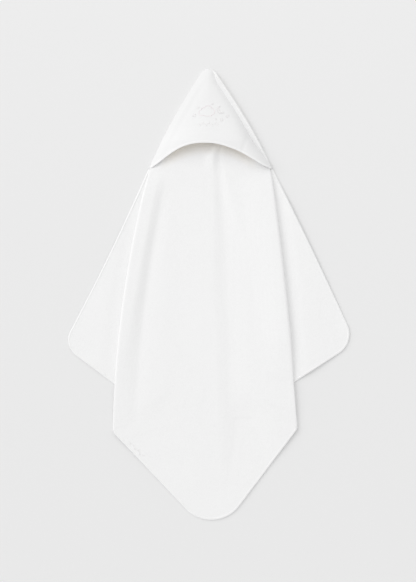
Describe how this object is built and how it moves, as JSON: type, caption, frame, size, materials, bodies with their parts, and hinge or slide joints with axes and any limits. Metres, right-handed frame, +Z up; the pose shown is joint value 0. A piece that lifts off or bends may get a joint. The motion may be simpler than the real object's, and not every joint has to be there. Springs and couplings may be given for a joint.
{
  "type": "hooded baby towel",
  "caption": "White hooded baby towel of cotton terry, laid out with its side corners pleated under the front and folding corners.",
  "frame": {"origin": "on the surface the towel lies on, below the middle of its box", "axes": "+Z up out of the front, +Y towards the tip of the hood, +X to the right seen from above"},
  "size_m": [0.6739, 1.08, 0.0302],
  "materials": {
    "terry": "short cotton loop pile",
    "hood_cloth": "smooth cotton cloth",
    "binding_tape": "plain woven cotton tape",
    "embroidery_thread": "satin stitch in glossy thread",
    "sewing_thread": "spun sewing thread",
    "backing_fleece": "thin bonded fleece",
    "label_tape": "blank woven ribbon"
  },
  "bodies": {
    "root": {"care_label": "label_tape", "embroidery_backing": "backing_fleece", "front_edge_binding": "binding_tape", "front_edge_stitching": "sewing_thread", "hood_hem_binding": "binding_tape", "hood_hem_stitching": "sewing_thread", "hood_panel": "hood_cloth", "hood_side_binding": "binding_tape", "hood_side_stitching": "sewing_thread", "left_bar_tack": "sewing_thread", "left_base_binding": "binding_tape", "left_pleat_base": "terry", "left_pleat_binding": "binding_tape", "left_pleat_middle": "terry", "motif_cloud": "embroidery_thread", "motif_flowers": "embroidery_thread", "motif_moon": "embroidery_thread", "motif_sprig": "embroidery_thread", "motif_stars": "embroidery_thread", "right_bar_tack": "sewing_thread", "right_base_binding": "binding_tape", "right_pleat_base": "terry", "right_pleat_binding": "binding_tape", "right_pleat_middle": "terry", "towel_centre": "terry"},
    "left_wing": {"left_wing_binding": "binding_tape", "left_wing_cloth": "terry", "left_wing_stitching": "sewing_thread"},
    "right_wing": {"right_wing_binding": "binding_tape", "right_wing_cloth": "terry", "right_wing_stitching": "sewing_thread"},
    "foot": {"edge_sprig": "embroidery_thread", "foot_binding": "binding_tape", "foot_cloth": "terry", "foot_stitching": "sewing_thread"}
  },
  "joints": [
    {"name": "left_wing_fold", "type": "hinge", "parent": "root", "child": "left_wing", "pos_m": [-0.207, -0.013, 0.009], "axis": [0.1483, 0.9889, 0], "range_deg": [0, 178]},
    {"name": "right_wing_fold", "type": "hinge", "parent": "root", "child": "right_wing", "pos_m": [0.191, -0.013, 0.009], "axis": [0.1142, -0.9935, 0], "range_deg": [0, 178]},
    {"name": "foot_fold", "type": "hinge", "parent": "root", "child": "foot", "pos_m": [0, -0.35, 0.0075], "axis": [-1, 0, 0], "range_deg": [0, 178]}
  ]
}
